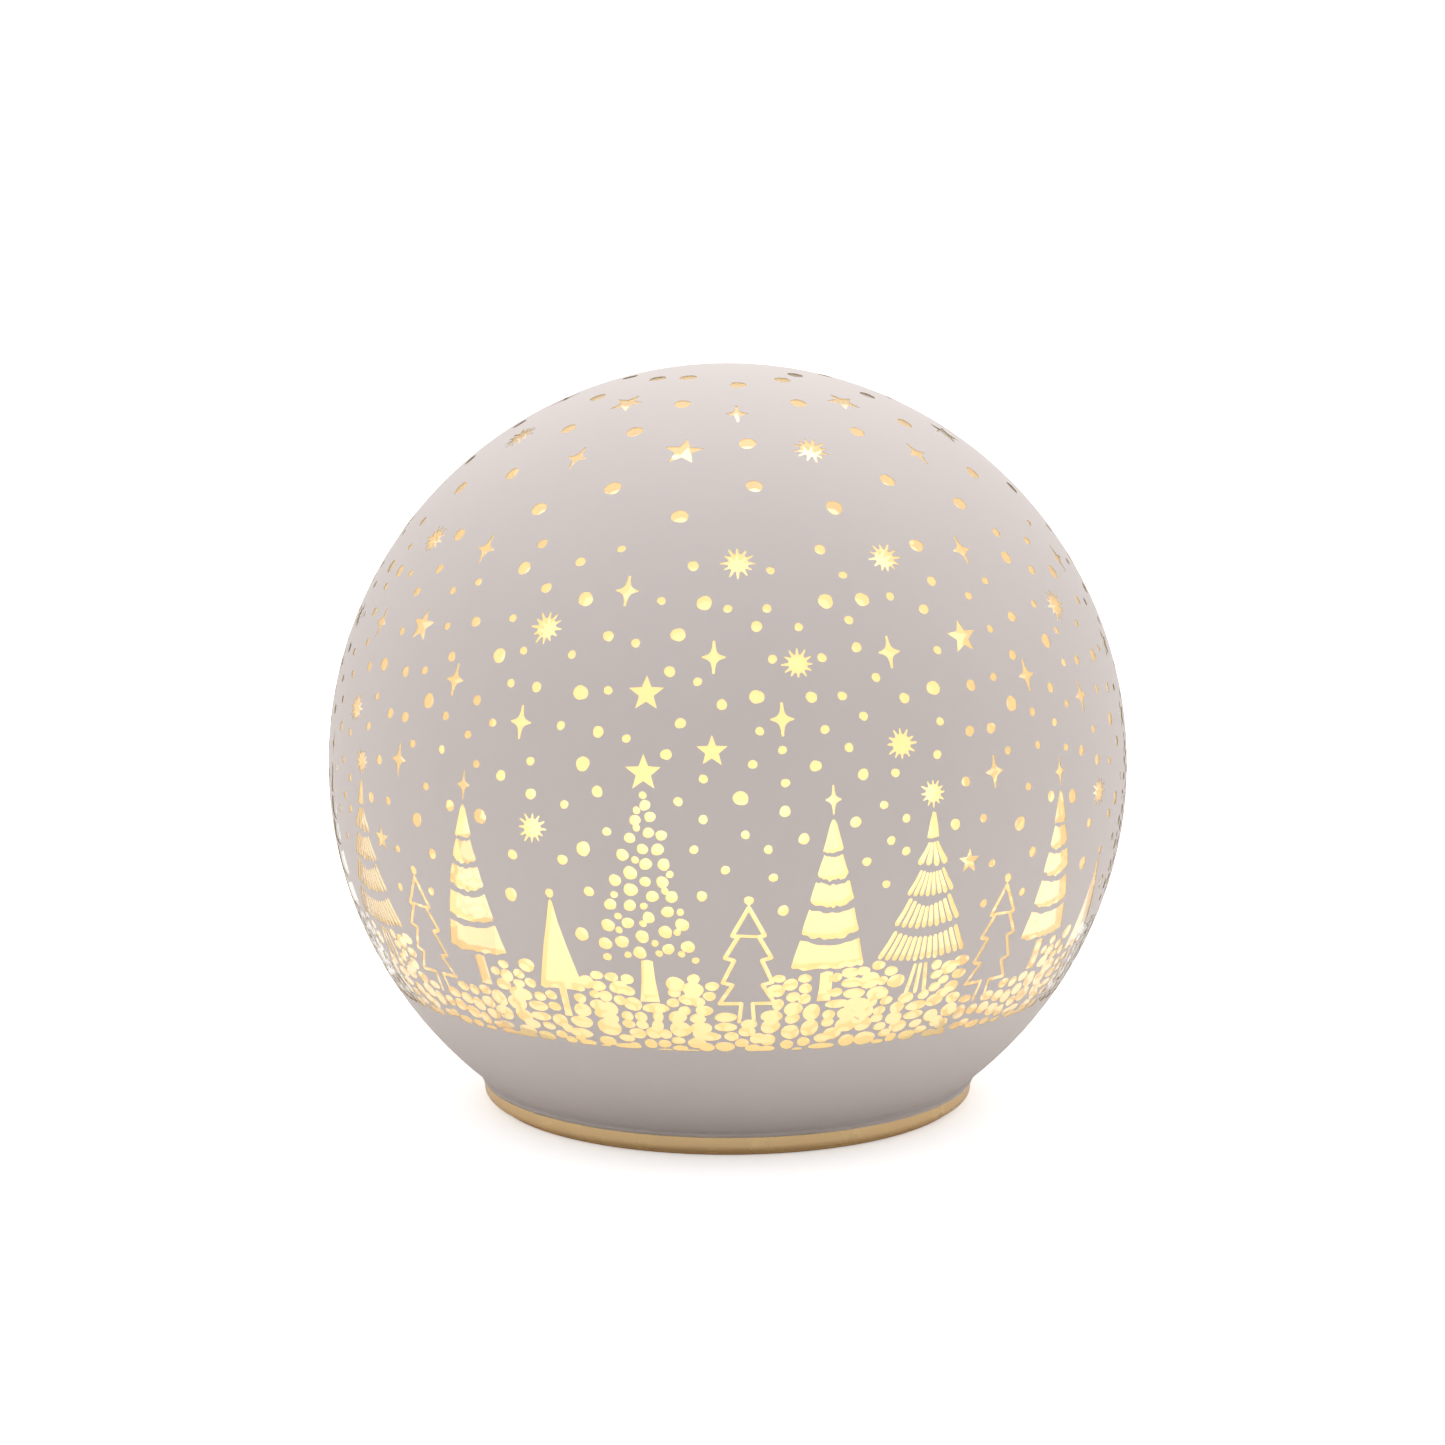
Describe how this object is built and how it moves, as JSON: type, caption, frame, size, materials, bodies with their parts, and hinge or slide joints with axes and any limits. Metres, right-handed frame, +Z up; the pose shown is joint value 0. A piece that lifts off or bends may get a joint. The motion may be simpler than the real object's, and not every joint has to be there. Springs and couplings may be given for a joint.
{
  "type": "battery-lit glass globe lamp",
  "caption": "Table lamp: a white-lacquered glass globe with engraved stars and fir trees over a gold plating, lit from inside, on a low gold battery base.",
  "frame": {"origin": "middle of the foot ring's underside, where the lamp rests", "axes": "+Z up along the globe's axis, +X along the battery cells and the switch's travel, -Y towards the viewer, with the switch at the front of the underside"},
  "size_m": [0.15, 0.15, 0.1389],
  "materials": {
    "clear_glass": "clear blown glass",
    "white_lacquer": "matte warm white lacquer",
    "gold_film": "half-clear gold plating",
    "clear_sealant": "clear silicone bead",
    "gold_plastic": "satin gold plated plastic",
    "foot_foam": "matte black foam",
    "white_plastic": "matte white plastic",
    "screw_steel": "nickel plated steel",
    "frosted_plastic": "frosted cream plastic",
    "white_board": "white solder mask",
    "led_phosphor": "warm white phosphor",
    "red_wire": "red insulation",
    "black_wire": "black insulation",
    "white_wire": "white insulation",
    "green_board": "green solder mask",
    "chip_black": "moulded black resin",
    "can_metal": "tinned steel",
    "capacitor_tan": "tan ceramic",
    "black_plastic": "matte black plastic",
    "cell_case": "plain foil wrap",
    "contact_nickel": "nickel plated spring steel"
  },
  "bodies": {
    "lamp": {"glass_globe": "clear_glass", "white_coat": "white_lacquer", "gold_plating": "gold_film", "seal_bead": "clear_sealant", "base_cup": "gold_plastic", "foot_ring": "foot_foam", "deck_plate": "white_plastic", "deck_screws": "screw_steel", "frosted_shade": "frosted_plastic", "lamp_post": "white_plastic", "lamp_board": "white_board", "lamp_leds": "led_phosphor", "lamp_red_lead": "red_wire", "lamp_black_lead": "black_wire", "control_board": "green_board", "board_screws": "screw_steel", "timer_chip": "chip_black", "quartz_can": "can_metal", "resistors": "chip_black", "capacitor": "capacitor_tan", "switch_body": "can_metal", "switch_lead": "white_wire", "battery_red_lead": "red_wire", "battery_black_lead": "black_wire", "contact_springs": "contact_nickel", "link_plates": "contact_nickel", "output_plates": "contact_nickel"},
    "slider": {"switch_slider": "black_plastic"},
    "door": {"battery_door": "gold_plastic"},
    "screw_east": {"door_screw_east": "screw_steel"},
    "screw_west": {"door_screw_west": "screw_steel"},
    "left_cell": {"cell_left": "cell_case"},
    "middle_cell": {"cell_middle": "cell_case"},
    "right_cell": {"cell_right": "cell_case"}
  },
  "joints": [
    {"name": "switch_slide", "type": "slide", "parent": "lamp", "child": "slider", "axis": [1, 0, 0], "range_m": [-0.004, 0]},
    {"name": "door_lift_off", "type": "slide", "parent": "lamp", "child": "door", "axis": [0, 0, -1], "range_m": [0, 0.06]},
    {"name": "east_screw_turn", "type": "hinge", "parent": "door", "child": "screw_east", "pos_m": [0.02937, 0, 0], "axis": [0, 0, 1], "continuous": true},
    {"name": "west_screw_turn", "type": "hinge", "parent": "door", "child": "screw_west", "pos_m": [-0.02937, 0, 0], "axis": [0, 0, 1], "continuous": true},
    {"name": "left_cell_out", "type": "slide", "parent": "lamp", "child": "left_cell", "axis": [0, 0, -1], "range_m": [0, 0.03]},
    {"name": "middle_cell_out", "type": "slide", "parent": "lamp", "child": "middle_cell", "axis": [0, 0, -1], "range_m": [0, 0.03]},
    {"name": "right_cell_out", "type": "slide", "parent": "lamp", "child": "right_cell", "axis": [0, 0, -1], "range_m": [0, 0.03]}
  ],
  "couplings": [
    {"joint": "left_cell_out", "follows": "door_lift_off", "ratio": 0.5},
    {"joint": "middle_cell_out", "follows": "door_lift_off", "ratio": 0.5},
    {"joint": "right_cell_out", "follows": "door_lift_off", "ratio": 0.5}
  ]
}
